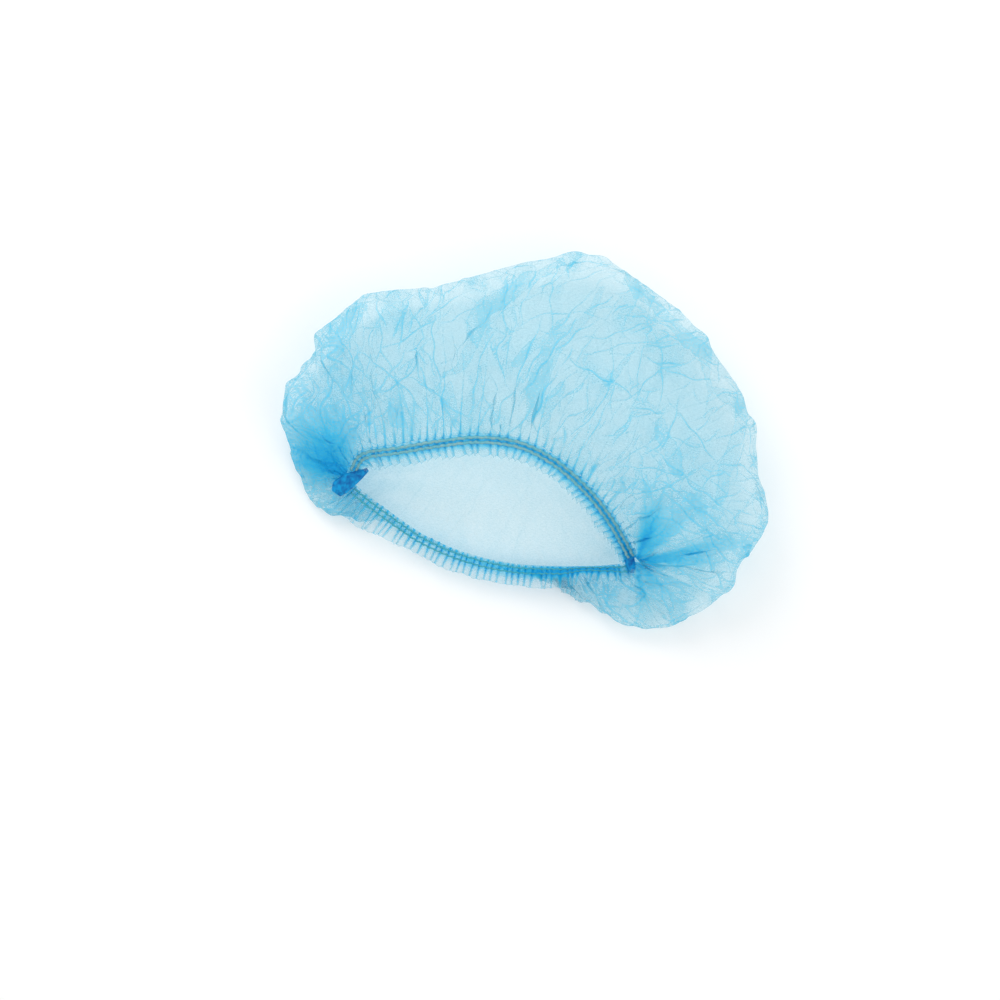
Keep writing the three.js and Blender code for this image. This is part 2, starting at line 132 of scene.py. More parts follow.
# Cloth that runs together into a welded corner: corner, angle, spread (degrees), length, layers
LEFT_CORNER, RIGHT_CORNER = (-108.0, -70.0), (88.0, -70.0)
FANS = [
    (LEFT_CORNER, 150, 36, 36, 8.0), (LEFT_CORNER, 108, 20, 42, 1.8), (LEFT_CORNER, 178, 20, 46, 2.6),
    (RIGHT_CORNER, 84, 15, 32, 8.0), (RIGHT_CORNER, 58, 10, 40, 2.4), (RIGHT_CORNER, 20, 11, 40, 5.6),
    (RIGHT_CORNER, 28, 5, 80, 2.2), (RIGHT_CORNER, -30, 18, 30, 2.4), (RIGHT_CORNER, -62, 14, 26, 2.0),
]

# Rays of thicker cloth round each corner: how many to a turn with their weights, layers and length
RAYS = [(60, 1.0), (150, 0.6)]
RAY_LAYERS, RAY_LENGTH = 2.4, 26.0

# Puckers that leave the elastic, as (pleats merged, start, end, depth), and their mean height
GATHERS = [(1, -5, 17, 1.9), (2, 5, 44, 2.4), (4, 24, 92, 2.6)]
MEAN_PUCKER = 0.66

# The crumpling, coarse then fine: how many creases, shortest, longest, how steep
CREASES = [(430, 14.0, 60.0, 0.32), (520, 6.0, 20.0, 0.3)]

# Folds are shallow near the mouth, down to a least share, and by another share near the bag's edge, which
# lies a few rows past the roof's last one
RIM_CALM_REACH, RIM_LEAST = 14.0, 0.15
EDGE_CALM, EDGE_CALM_ROWS, EDGE_ROWS = 0.62, 14, 4
CLOTH_ABOVE_FLOOR = 0.05

# A crease's place among the rows, and its lean (mean, spread) near the mouth and beyond
CREASE_ROWS = (0.04, 0.97)
NEAR_MOUTH, LEAN_NEAR, LEAN_BEYOND = 60.0, (0, 0.45), (-0.35, 0.6)

# Its facets' width as a share of its length, its bend, how far it waves and over what run
FACET_SHARE, CREASE_BEND, CREASE_WAVE, WAVE_RUN = (0.14, 0.3), 0.006, (0.3, 1.2), 3.1
CREASE_SOFTNESS = 1.8

# The frill starts a little inside the mouth's edge and is free beyond its threads
FRILL_INSIDE, FREE_FROM = 0.6, 6.2
THREADS_MIDDLE, THREADS_SPREAD = 4.2, 3.6

# Its lobes: how full they are, their mean, their depth at the threads, what the free edge adds to it, how
# far the edge is scalloped, how far the lobes sway and lean, and how high the frill stands
LOBE_ROUNDNESS, MEAN_LOBE = 0.62, 0.6
LOBE_DEPTH, FREE_DEPTH, SCALLOP = 1.5, 2.6, 1.5
LOBE_SWAY, LOBE_LEAN = 0.16, 0.10
FRILL_STAND, FRILL_ABOVE_FLOOR = 1.3, 0.4

# The crushed corners as (x, y, z, half width), outward from the mouth
LEFT_WELD = [
    (-96.5, -61.5, 27, 1.2), (-101, -66.5, 25.5, 3.2), (-106.5, -72, 23, 5.2), (-111, -78, 21, 5.6),
    (-112.5, -82.5, 19, 3.4),
]
RIGHT_WELD = [
    (76.5, -62, 25.5, 1.2), (80, -66, 24, 2.6), (84, -71, 22, 3.4), (87, -76, 19.5, 3), (88.5, -79, 18, 1.2),
]

# Their half thickness at the ends, what the middle adds, and their ridges' share across and upward
PAD_THIN, PAD_MORE = 0.4, 0.75
RIDGES_ACROSS, RIDGES_UP = 0.06, 0.35

# The hems as (along, width share, tilt in degrees, gathered layers), from the left end seam on
UPPER_HEM = [
    (0, 0.95, -10, 6), (0.15, 1.15, -18, 7), (0.5, 1.2, -20, 9), (0.85, 1.15, -18, 11), (1, 0.9, -10, 11),
]
LOWER_HEM = [
    (0, 1.75, 8, 0.8), (0.12, 1.7, 8, 0.8), (0.28, 1.15, 10, 1.5), (0.6, 1.15, 14, 5), (0.74, 1.3, 30, 11),
    (0.84, 1.5, 62, 14), (0.9, 1.2, 50, 9), (0.96, 1.0, 15, 2), (1, 1.0, 10, 1),
]

# The cloth's mesh, and how its rows crowd towards the edge and the pole
UPPER_COLUMNS, LOWER_COLUMNS = 440, 200
TOP_ROWS, ROLL_ROWS, FLOOR_ROWS = 118, 9, 22
EDGE_CROWDING, ROOF_FULLNESS, POLE_CROWDING = 1.35, 0.8, 0.9

# Main folds are shallower where the roof reaches less far than this. The edge rolls in under the bag by
# a share of its height
FULL_FOLD_REACH, ROLL_SHARE = 36.0, 0.75


# Curves and tables

def smooth_curve(rows, bow, rise, steps=40):
    """A dense polyline along one of the mouth's arcs, by the centripetal Catmull-Rom rule."""
    p = np.array([
        (MOUTH_X + a * MOUTH_LENGTH, MOUTH_Y + b * bow, SEAM_HEIGHT + r * rise) for a, b, r in rows
    ])
    p = np.vstack([2 * p[0] - p[1], p, 2 * p[-1] - p[-2]])
    out = []
    for k in range(1, len(p) - 2):
        d = [np.sqrt(np.linalg.norm(p[k + i + 1] - p[k + i])) for i in (-1, 0, 1)]
        t1 = ((p[k] - p[k - 1]) / d[0] - (p[k + 1] - p[k - 1]) / (d[0] + d[1])) * d[1] + p[k + 1] - p[k]
        t2 = (p[k + 1] - p[k]) + ((p[k + 2] - p[k + 1]) / d[2] - (p[k + 2] - p[k]) / (d[1] + d[2])) * d[1]
        t = np.linspace(0, 1, steps, endpoint=False)[:, None]
        out.append(
            (2 * t**3 - 3 * t**2 + 1) * p[k] + (t**3 - 2 * t**2 + t) * t1
            + (-2 * t**3 + 3 * t**2) * p[k + 1] + (t**3 - t**2) * t2
        )
    out.append(p[-2][None])
    return np.vstack(out)


class Arc:
    """One arc of the mouth, read by its share of length, with the places of its pleats."""

    def __init__(self, rows, bow, rise, pitch):
        self.points = smooth_curve(rows, bow, rise)
        steps = np.linalg.norm(np.diff(self.points, axis=0), axis=1)
        self.at = np.concatenate([[0], np.cumsum(steps)])
        self.length = self.at[-1]
        self.pitch = pitch
        self.count = round(self.length / pitch)
        self.jitter = RNG.uniform(-0.24, 0.24, self.count + 1)
        self.jitter[0] = self.jitter[-1] = 0

    def point(self, share):
        s = np.asarray(share) * self.length
        return np.stack([np.interp(s, self.at, self.points[:, k]) for k in range(3)], -1)

    def tangent(self, share):
        step = 1.5 / self.length
        low, high = np.clip(share - step, 0, 1), np.clip(share + step, 0, 1)
        return unit(self.point(high) - self.point(low))

    def pleat(self, share):
        """How many pleats lie before a share of the arc, with whole numbers at the pinched lines."""
        at = np.asarray(share) * self.count
        return at + np.interp(at, np.arange(self.count + 1), self.jitter)


def unit(v):
    return v / np.maximum(np.linalg.norm(v, axis=-1, keepdims=True), 1e-9)


def between_rows(table, column, place):
    """Smooth values between the rows of a closed table."""
    row = np.floor(place).astype(int)
    f = place - row
    a, b, c, d = (table[(row + k) % len(table), column] for k in (-1, 0, 1, 2))
    return b + 0.5 * f * (c - a + f * (2 * a - 5 * b + 4 * c - d + f * (3 * (b - c) + d - a)))


def along_hem(stations, column, share):
    """Eased values between the stations of a hem."""
    s = np.array([row[0] for row in stations], float)
    v = np.array([row[column] for row in stations], float)
    k = np.clip(np.searchsorted(s, share, side="right") - 1, 0, len(s) - 2)
    f = np.clip((share - s[k]) / (s[k + 1] - s[k]), 0, 1)
    return v[k] + (v[k + 1] - v[k]) * f * f * (3 - 2 * f)


def crowded(share):
    """Shares of an arc that lie closer together near its ends."""
    return 0.35 * share + 0.325 * (1 - np.cos(np.pi * share))


def smooth_noise(at, knots):
    """A smooth random row of values read at places counted in knots, closed at its end."""
    k = np.floor(at).astype(int)
    f = at - k
    f = f * f * (3 - 2 * f)
    return knots[k % len(knots)] * (1 - f) + knots[(k + 1) % len(knots)] * f


UPPER_ARC = Arc(UPPER_ARC_ROWS, UPPER_ARC_BOW, UPPER_ARC_RISE, UPPER_PLEAT_PITCH)
LOWER_ARC = Arc(LOWER_ARC_ROWS, -LOWER_ARC_BOW, -LOWER_ARC_DROP, LOWER_PLEAT_PITCH)


# The bag

def bag_columns():
    """What each column of the bag's mesh has: its points at the mouth and the edge, its crest, its share
    of the way round, how fast its roof swells, how deep it tucks under, and its pleat."""
    upper = np.arange(UPPER_COLUMNS) / UPPER_COLUMNS
    lower = np.arange(LOWER_COLUMNS) / LOWER_COLUMNS
    rim = np.vstack([UPPER_ARC.point(crowded(upper)), LOWER_ARC.point(1 - crowded(lower))])
    pleat = np.concatenate([
        UPPER_ARC.pleat(crowded(upper)),
        UPPER_ARC.count + LOWER_ARC.count - LOWER_ARC.pleat(1 - crowded(lower)),
    ])
    place = np.concatenate([
        upper * RIGHT_SEAM_ROW, RIGHT_SEAM_ROW + lower * (len(OUTLINE) - RIGHT_SEAM_ROW)
    ])
    size = (BAG_LENGTH, BAG_DEPTH, BAG_HEIGHT)
    edge = np.stack([between_rows(OUTLINE, k, place) * size[k] for k in range(3)], -1)
    crest = between_rows(OUTLINE, 3, place) * BAG_HEIGHT
    is_lower = np.arange(len(place)) >= UPPER_COLUMNS
    beside = is_lower & (np.abs(edge[:, 0] - MOUTH_X) < 0.45 * MOUTH_LENGTH)
    edge[:, 1] = np.where(beside, np.minimum(edge[:, 1], rim[:, 1] - EDGE_ROLL), edge[:, 1])
    station = np.concatenate([upper, 1 + lower])
    swell = np.where(is_lower, LOWER_SWELL, UPPER_SWELL)
    tuck = np.where(is_lower, TUCK_DEPTH * np.sin(np.pi * np.clip(station - 1, 0, 1)) ** 0.5, 0)
    return rim, edge, crest, station, swell, tuck, pleat


def base_bag():
    """The smooth bag: rows of points from the mouth to the pole under it, with its column facts."""
    rim, edge, crest, station, swell, tuck, pleat = bag_columns()
    reach = np.hypot(*(edge - rim)[:, :2].T)
    rows = []
    for row in range(TOP_ROWS + 1):
        turn = math.pi / 2 * (row / TOP_ROWS) ** EDGE_CROWDING
        share = math.sin(turn) ** ROOF_FULLNESS
        past_rim = share * reach / TUCK_REACH
        roof = crest - (crest - rim[:, 2]) * np.exp(-share * reach / swell)
        roof = roof - tuck * past_rim * np.exp(1 - past_rim)
        height = edge[:, 2] + (roof - edge[:, 2]) * math.cos(turn)
        height = height + main_folds(station, share) * np.minimum(1, reach / FULL_FOLD_REACH)
        plan = rim[:, :2] + (edge - rim)[:, :2] * share
        rows.append(np.column_stack([plan, height]))
    middle = edge.mean(0) * (1, 1, 0)
    inward = unit((middle - edge) * (1, 1, 0))
    for row in range(1, ROLL_ROWS + 1):
        turn = math.pi / 2 * row / ROLL_ROWS
        point = edge + inward * (ROLL_SHARE * edge[:, 2] * (1 - math.cos(turn)))[:, None]
        point[:, 2] = edge[:, 2] * (1 - math.sin(turn))
        rows.append(point)
    floor = rows[-1]
    for row in range(1, FLOOR_ROWS):
        rows.append(floor + (middle - floor) * (row / FLOOR_ROWS) ** POLE_CROWDING)
    return np.array(rows), pleat


def main_folds(station, share):
    """The height that the main folds add to a row of the roof."""
    height = np.zeros_like(station)
    for rim, rear, start, end, width, depth in FOLDS:
        off = np.abs(station - (rim + (rear - rim) * share))
        aside = np.minimum(off, 2 - off) / width
        through = np.clip((share - start) / (end - start), 0, 1)
        height += depth * BAG_HEIGHT * np.exp(-aside**2) * math.sin(math.pi * through) ** 2
    return height


def grid_normals(grid):
    up = np.gradient(grid, axis=0)
    along = (np.roll(grid, -1, 1) - np.roll(grid, 1, 1)) / 2
    return -unit(np.cross(up, along))


def distances(grid):
    """How far each point lies from the mouth, along the cloth."""
    steps = np.linalg.norm(np.diff(grid, axis=0), axis=2)
    return np.vstack([np.zeros(grid.shape[1]), np.cumsum(steps, axis=0)])


def gathers(pleat, away):
    """Puckers that leave the elastic and merge by twos on their way out."""
    move = np.zeros(away.shape)
    for merge, start, end, depth in GATHERS:
        knots = RNG.uniform(-1, 1, (UPPER_ARC.count + LOWER_ARC.count) // merge)
        strength = 0.7 + 0.3 * smooth_noise(pleat / merge, knots)
        through = np.clip((away - start) / (end - start), 0, 1)
        window = np.sin(np.pi * through) ** 1.2
        lobe = np.abs(np.sin(np.pi * pleat / merge)) ** 0.7
        move += window * depth * strength * (lobe - MEAN_PUCKER)
    return move


def crumple(grid, normals, away, sizes):
    """Random folds, each a wavy crease with a flat facet on both sides. Gives how far the points move,
    their signed distance to the sharpest crease near them in millimetres, and how sharp it is."""
    rows, columns = grid.shape[:2]
    points = grid.reshape(-1, 3)
    facing = normals.reshape(-1, 3)
    move, mark, crease = np.zeros(len(points)), np.zeros(len(points)), np.full(len(points), 9.0)
    for count, shortest, longest, steep in sizes:
        for _ in range(count):
            row = int(rows * RNG.uniform(*CREASE_ROWS))
            column = RNG.integers(columns)
            middle, normal = grid[row, column], normals[row, column]
            out = unit(grid[min(row + 2, rows - 1), column] - grid[row - 2, column])
            side = unit(np.cross(normal, out))
            lean = RNG.normal(*(LEAN_NEAR if away[row, column] < NEAR_MOUTH else LEAN_BEYOND))
            length = RNG.uniform(shortest, longest)
            width = RNG.uniform(*FACET_SHARE) * length
            depth = RNG.uniform(0.5, 1.0) * steep * width * RNG.choice((-1, 1))
            bend, wave, phase = RNG.normal(0, CREASE_BEND), RNG.uniform(*CREASE_WAVE), RNG.uniform(0, 6.3)
            along = out * math.cos(lean) + side * math.sin(lean)
            across = np.cross(normal, along)
            offset = points - middle
            index = np.nonzero((np.abs(offset) < length + width).all(1))[0]
            x = offset[index] @ along
            y = offset[index] @ across + bend * x * x + wave * np.sin(x / WAVE_RUN + phase)
            keep = (facing[index] @ normal > 0.2) & (np.abs(x) < length) & (np.abs(y) < width)
            index, x, y = index[keep], x[keep], y[keep]
            fade = np.cos(np.pi * x / length / 2) ** 1.3
            tent = 1 - np.abs(y) / width
            move[index] += depth * fade * (0.65 * tent + 0.35 * tent * tent * (3 - 2 * tent))
            sharp = fade * RNG.uniform(0.35, 1.0) * np.exp(-((y / CREASE_SOFTNESS) ** 2))
            better = sharp > mark[index]
            mark[index[better]] = sharp[better]
            crease[index[better]] = y[better]
    return [field.reshape(rows, columns) for field in (move, crease, mark)]


def overlap_field(grid):
    """How far inside the nearest overlap a roof point is, in millimetres, or how far outside below 0."""
    plan = grid[: TOP_ROWS + 1, :, :2]
    field = np.full(grid.shape[:2], FAR_OUTSIDE)
    for half, line in OVERLAPS:
        line = np.array(line, float)
        lengths = np.linalg.norm(np.diff(line, axis=0), axis=1)
        start = np.concatenate([[0], np.cumsum(lengths)])
        for k in range(len(line) - 1):
            run = line[k + 1] - line[k]
            share = np.clip(((plan - line[k]) @ run) / (run @ run), 0, 1)
            gap = np.linalg.norm(plan - line[k] - share[..., None] * run, axis=2)
            through = (start[k] + share * lengths[k]) / start[-1]
            width = half * (0.35 + 0.65 * np.sin(np.pi * (0.1 + 0.8 * through)))
            field[: TOP_ROWS + 1] = np.maximum(field[: TOP_ROWS + 1], width - gap)
    return field


def fan_layers(grid):
    """Extra layers of cloth where it runs together into the welded corners."""
    layers = np.zeros(grid.shape[:2])
    for corner, angle, spread, length, extra in FANS:
        turn, far = seen_from(corner, grid)
        off = (np.degrees(turn) - angle + 180) % 360 - 180
        layers += extra * np.exp(-((off / spread) ** 2)) * np.exp(-((far / length) ** 2.2))
    for corner in (LEFT_CORNER, RIGHT_CORNER):
        turn, far = seen_from(corner, grid)
        part = turn / (2 * np.pi) % 1
        ray = sum(weight * smooth_noise(part * count, RNG.uniform(0, 1, count)) for count, weight in RAYS)
        layers += RAY_LAYERS * np.clip((ray - 0.75) / 0.3, 0, 1) * np.exp(-far / RAY_LENGTH)
    return layers


def seen_from(corner, grid):
    """The direction (radians) and the distance of each point from a corner, seen from above."""
    offset = grid[..., :2] - corner
    return np.arctan2(offset[..., 1], offset[..., 0]), np.hypot(offset[..., 0], offset[..., 1])


def cloth_mesh(name, grid, pole, values, uv, wrap=0.0, wraps=True):
    """A mesh from a grid of points in millimetres, with vertex values and a UV map. wrap is what the
    map's first number gains once round."""
    rows, columns = grid.shape[:2]
    points = grid.reshape(-1, 3)
    row, column = np.meshgrid(
        np.arange(rows - 1), np.arange(columns if wraps else columns - 1), indexing="ij"
    )
    here = (row * columns + column).reshape(-1)
    beside = (row * columns + (column + 1) % columns).reshape(-1)
    quads = np.stack([here, beside, beside + columns, here + columns], -1)
    flat_uv = uv.reshape(-1, 2)
    corners = flat_uv[quads]
    over = (column.reshape(-1) + 1 == columns)[:, None] * np.array([0, 1, 1, 0])
    corners[..., 0] += over * wrap
    faces, loops = quads.tolist(), corners.reshape(-1, 2)
    if pole is not None:
        last = (rows - 1) * columns
        faces += [[last + k, last + (k + 1) % columns, len(points)] for k in range(columns)]
        rim = flat_uv[last:]
        after = np.vstack([rim[1:], rim[:1] + (wrap, 0)])
        tips = (rim + after) / 2 + (0, 0.003)
        loops = np.vstack([loops, np.stack([rim, after, tips], 1).reshape(-1, 2)])
        points = np.vstack([points, pole])
        values = {key: np.append(value.reshape(-1), value[-1].mean()) for key, value in values.items()}
    mesh = bpy.data.meshes.new(name)
    mesh.from_pydata((points * MM).tolist(), [], faces)
    for key, value in values.items():
        layer = mesh.attributes.new(key, "FLOAT", "POINT")
        layer.data.foreach_set("value", np.asarray(value, np.float32).reshape(-1))
    layer = mesh.uv_layers.new(name="cloth")
    layer.data.foreach_set("uv", np.asarray(loops, np.float32).reshape(-1))
    mesh.polygons.foreach_set("use_smooth", [True] * len(mesh.polygons))
    piece = bpy.data.objects.new(name, mesh)
    bpy.context.scene.collection.objects.link(piece)
    return piece


def dress(piece, material, replaced):
    """Gives a piece its material, hangs it on the root body, and hides the frame's solid that it stands for.
    """
    piece.data.materials.append(material)
    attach(piece, "root")
    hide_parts(replaced)
    return piece


# Materials

class Value:
    """A number worked out by a material's nodes, so that formulas can be written plainly."""

    def __init__(self, tree, socket):
        self.tree, self.socket = tree, socket

    def made(self, operation, *others):
        new = self.tree.nodes.new("ShaderNodeMath")
        new.operation = operation
        for slot, item in zip(new.inputs, (self, *others)):
            link(self.tree, item, slot)
        return Value(self.tree, new.outputs[0])

    def __add__(self, other):
        return self.made("ADD", other)

    def __sub__(self, other):
        return self.made("SUBTRACT", other)

    def __mul__(self, other):
        return self.made("MULTIPLY", other)

    def __truediv__(self, other):
        return self.made("DIVIDE", other)

    def __neg__(self):
        return self.made("MULTIPLY", -1.0)

    def exp(self):
        return self.made("EXPONENT")

    def sin(self):
        return self.made("SINE")

    def floor(self):
        return self.made("FLOOR")

    def at_least(self, other):
        return self.made("MAXIMUM", other)

    def step(self, low, high):
        """0 below low and 1 above high, with a soft run between."""
        new = self.tree.nodes.new("ShaderNodeMapRange")
        new.interpolation_type = "SMOOTHSTEP"
        for slot, item in zip(new.inputs, (self, low, high, 0.0, 1.0)):
            link(self.tree, item, slot)
        return Value(self.tree, new.outputs[0])


def link(tree, item, slot):
    if isinstance(item, Value):
        tree.links.new(item.socket, slot)
    elif isinstance(item, bpy.types.NodeSocket):
        tree.links.new(item, slot)
    else:
        slot.default_value = item


def node(tree, kind, inputs=(), **settings):
    made = tree.nodes.new(kind)
    for key, value in settings.items():
        setattr(made, key, value)
    for key, value in dict(inputs).items():
        link(tree, value, made.inputs[key])
    return made


def noise(tree, where, scale, detail=1.0, roughness=0.5, flat=False):
    made = node(tree, "ShaderNodeTexNoise", {
        "Vector": where, "Scale": scale, "Detail": detail, "Roughness": roughness,
    }, noise_dimensions="2D" if flat else "3D")
    return Value(tree, made.outputs["Fac"])


def scaled(tree, vector, scale):
    return node(tree, "ShaderNodeVectorMath", {0: vector, 1: scale}, operation="MULTIPLY").outputs[0]


def fibres(tree, where):
    """The cloth's speckle: -1 where its fibres are sparse, 1 where they are bunched."""
    fine = noise(tree, where, SPECKS_PER_METRE, flat=True)
    long = noise(tree, scaled(tree, where, FIBRES_PER_METRE), 1.0, flat=True)
    return (fine - 0.5) * 1.6 + (long - 0.5) * 1.9


# What light keeps as it passes one layer of the cloth, and the share that a layer catches
LAYER_TINT = (0.90, 0.96, 0.975)
LAYER_COVER = 0.16
MOST_LAYERS = 10.0

# The cloth's specks and fibres, how strongly they show, the thinnest it gets, and its grain and gloss
SPECKS_PER_METRE, FIBRES_PER_METRE = 1050.0, (420.0, 1500.0, 900.0)
FIBRE_CONTRAST, THINNEST = 0.4, 0.12
GRAINS_PER_METRE, GRAIN_DEPTH = 520.0, 0.3
CLOTH_ROUGHNESS, CLOTH_SPECULAR = 0.6, 0.2

# How many layers the marks on the crown count for: pinches, crease lines that are partly thicker folded cloth
# and partly painted shade, painted shade beside them, painted shade of the crumpled facets in two steps,
# overlaps and their edges. Overlaps are ragged by some millimetres
PINCH_LAYERS, CREASE_LINE_AND_SHADE, ONE_SIDED_PAINTED_SHADE = 5.5, 2.6, 0.5
FACET_SHADE_STEP, DEEPER_FACET_SHADE_STEP = 0.35, 0.5
OVERLAP_LAYERS, OVERLAP_EDGE_LAYERS, RAGGED = 0.8, 0.6, 13.0
PATCHES_PER_METRE = (34.0, 21.0, 1.0)

# The map counts pleats in hundreds, so that its first number stays small
PLEATS_PER_UNIT = 100.0

# The colour of light that is scattered: share of the most layers, then the colour
TONES = [
    (0.0, (0.66, 0.83, 0.89)), (0.13, (0.56, 0.79, 0.87)), (0.3, (0.20, 0.69, 0.87)),
    (0.55, (0.04, 0.60, 0.89)), (1.0, (0.005, 0.40, 0.78)),
]
# What is left of light that shines through, at the same shares
TINTS = [(share, tuple(kept ** (share * MOST_LAYERS) for kept in LAYER_TINT)) for share, _ in TONES]


def colours(tree, share, table):
    ramp = node(tree, "ShaderNodeValToRGB", {"Fac": share})
    while len(ramp.color_ramp.elements) < len(table):
        ramp.color_ramp.elements.new(0.5)
    for stop, (place, colour) in zip(ramp.color_ramp.elements, table):
        stop.position = place
        stop.color = (*colour, 1)
    return ramp.outputs[0]


def finish_cloth(tree, layers, where):
    """The cloth's surface from how many layers lie there: it tints what shines through and scatters."""
    layers = (layers * (fibres(tree, where) * FIBRE_CONTRAST + 1.0)).at_least(THINNEST)
    cover = (layers * math.log(1 - LAYER_COVER)).exp() * -1.0 + 1.0
    share = layers / MOST_LAYERS
    tone = colours(tree, share, TONES)
    grain = noise(tree, where, GRAINS_PER_METRE, 0.0, flat=True)
    bump = node(tree, "ShaderNodeBump", {"Height": grain, "Strength": 0.5, "Distance": GRAIN_DEPTH * MM})
    through = node(tree, "ShaderNodeBsdfTranslucent", {"Color": tone, "Normal": bump.outputs[0]})
    skin = node(tree, "ShaderNodeBsdfPrincipled", {
        "Base Color": tone, "Roughness": CLOTH_ROUGHNESS, "Normal": bump.outputs[0],
        "Specular IOR Level": CLOTH_SPECULAR,
    })
    body = node(tree, "ShaderNodeMixShader", {0: 0.5, 1: through.outputs[0], 2: skin.outputs[0]})
    gap = node(tree, "ShaderNodeBsdfTransparent", {"Color": colours(tree, share, TINTS)})
    mixed = node(tree, "ShaderNodeMixShader", {0: cover, 1: gap.outputs[0], 2: body.outputs[0]})
    node(tree, "ShaderNodeOutputMaterial", {"Surface": mixed.outputs[0]})


def empty_material(name):
    material = bpy.data.materials.new(name)
    material.use_nodes = True
    material.node_tree.nodes.clear()
    return material, material.node_tree


def attribute(tree, name):
    return Value(tree, node(tree, "ShaderNodeAttribute", attribute_name=name).outputs["Fac"])


def near(value, width):
    """1 where a value is 0, falling off on both sides."""
    share = value / width
    return (-(share * share)).exp()


def crown_material():
    """Crumpled cloth: sharp creases that are partly thicker cloth and partly painted shade, painted shade
    beside them and on its facets, pinches at the elastic and overlaps.
    """
    material, tree = empty_material("cloth_nonwoven")
    where = node(tree, "ShaderNodeTexCoord").outputs["Object"]
    uv = node(tree, "ShaderNodeUVMap", uv_map="cloth").outputs[0]
    split = node(tree, "ShaderNodeSeparateXYZ", {0: uv})
    pleat = Value(tree, split.outputs[0]) * PLEATS_PER_UNIT
    away = Value(tree, split.outputs[1]) * (1 / MM)
    # Pinched lines at the elastic, each with its own length, wide where they start
    number = (pleat + 0.5).floor()
    drawn = node(tree, "ShaderNodeTexWhiteNoise", {"W": number}, noise_dimensions="1D")
    chance = Value(tree, drawn.outputs[0])
    reach = chance * chance * 30.0 + 5.0
    width = (-(away / 4.0)).exp() * 0.42 + 0.17
    pinches = near((pleat * math.pi).sin(), width) * (-(away / reach)).exp()
    # Creases are sharp dark lines, partly thicker folded cloth and partly painted shade, with a soft painted
    # shade on one side
    crease = attribute(tree, "crease")
    crease_marks_and_shade = near(crease, 0.55) * CREASE_LINE_AND_SHADE + crease.step(-0.3, 0.5) * ONE_SIDED_PAINTED_SHADE
    lines = attribute(tree, "mark") * crease_marks_and_shade
    # Ragged patches one and two steps darker, painted shade that stands for the crumpled facets; the same
    # noise makes the overlaps' borders ragged
    patches = noise(tree, scaled(tree, where, PATCHES_PER_METRE), 1.0, 3.0, 0.6, flat=True)
    painted_facet_shade = patches.step(0.5, 0.515) * FACET_SHADE_STEP + patches.step(0.6, 0.612) * DEEPER_FACET_SHADE_STEP
    inside = attribute(tree, "overlap") + (patches - 0.5) * RAGGED
    overlap = inside.step(-0.25, 0.4) * OVERLAP_LAYERS + near(inside, 0.5) * OVERLAP_EDGE_LAYERS
    # Away from the roof these marks are weak, and there are no pinches
    on_roof = attribute(tree, "roof")
    # The crease lines and the facet patches that add to the layers here carry painted shade
    layers = (
        attribute(tree, "layers") + pinches * on_roof * PINCH_LAYERS
        + (lines + painted_facet_shade + overlap) * (on_roof * 0.75 + 0.25)
    )
    finish_cloth(tree, layers, where)
    return material


def frill_material():
    """Gathered cloth that is worn unevenly thin."""
    material, tree = empty_material("frill_nonwoven")
    where = node(tree, "ShaderNodeTexCoord").outputs["Object"]
    wear = (noise(tree, where, 160.0, 2.0, 0.6, flat=True) - 0.5) * 0.9 + 1.0
    finish_cloth(tree, attribute(tree, "layers") * wear, where)
    return material


def solid_material(name, dark, light, scale, roughness, specular, deep=None):
    """An opaque finish whose colour wanders between two tones, with a fine bump. Where a piece has the
    value deep, the third colour takes over."""
    material, tree = empty_material(name)
    where = node(tree, "ShaderNodeTexCoord").outputs["Object"]
    grain = noise(tree, where, scale, 3.0)
    tone = node(tree, "ShaderNodeMix", {0: grain.step(0.3, 0.7)}, data_type="RGBA")
    tone.inputs[6].default_value = (*dark, 1)
    tone.inputs[7].default_value = (*light, 1)
    if deep:
        tone = node(tree, "ShaderNodeMix", {0: attribute(tree, "deep"), 6: tone.outputs[2]}, data_type="RGBA")
        tone.inputs[7].default_value = (*deep, 1)
    bump = node(tree, "ShaderNodeBump", {"Height": grain, "Strength": 0.5, "Distance": 0.0004})
    skin = node(tree, "ShaderNodeBsdfPrincipled", {
        "Base Color": tone.outputs[2], "Roughness": roughness, "Normal": bump.outputs[0],
        "Specular IOR Level": specular,
    })
    node(tree, "ShaderNodeOutputMaterial", {"Surface": skin.outputs[0]})
    return material


CLOTH = crown_material()
FRILL = frill_material()
ELASTIC = solid_material(
    "elastic_thread", (0.10, 0.43, 0.52), (0.25, 0.46, 0.48), 420.0, 0.65, 0.2, (0.06, 0.36, 0.43)
)
WELD = solid_material("welded_cloth", (0.0, 0.11, 0.36), (0.0, 0.32, 0.66), 260.0, 0.5, 0.2)


# The crown

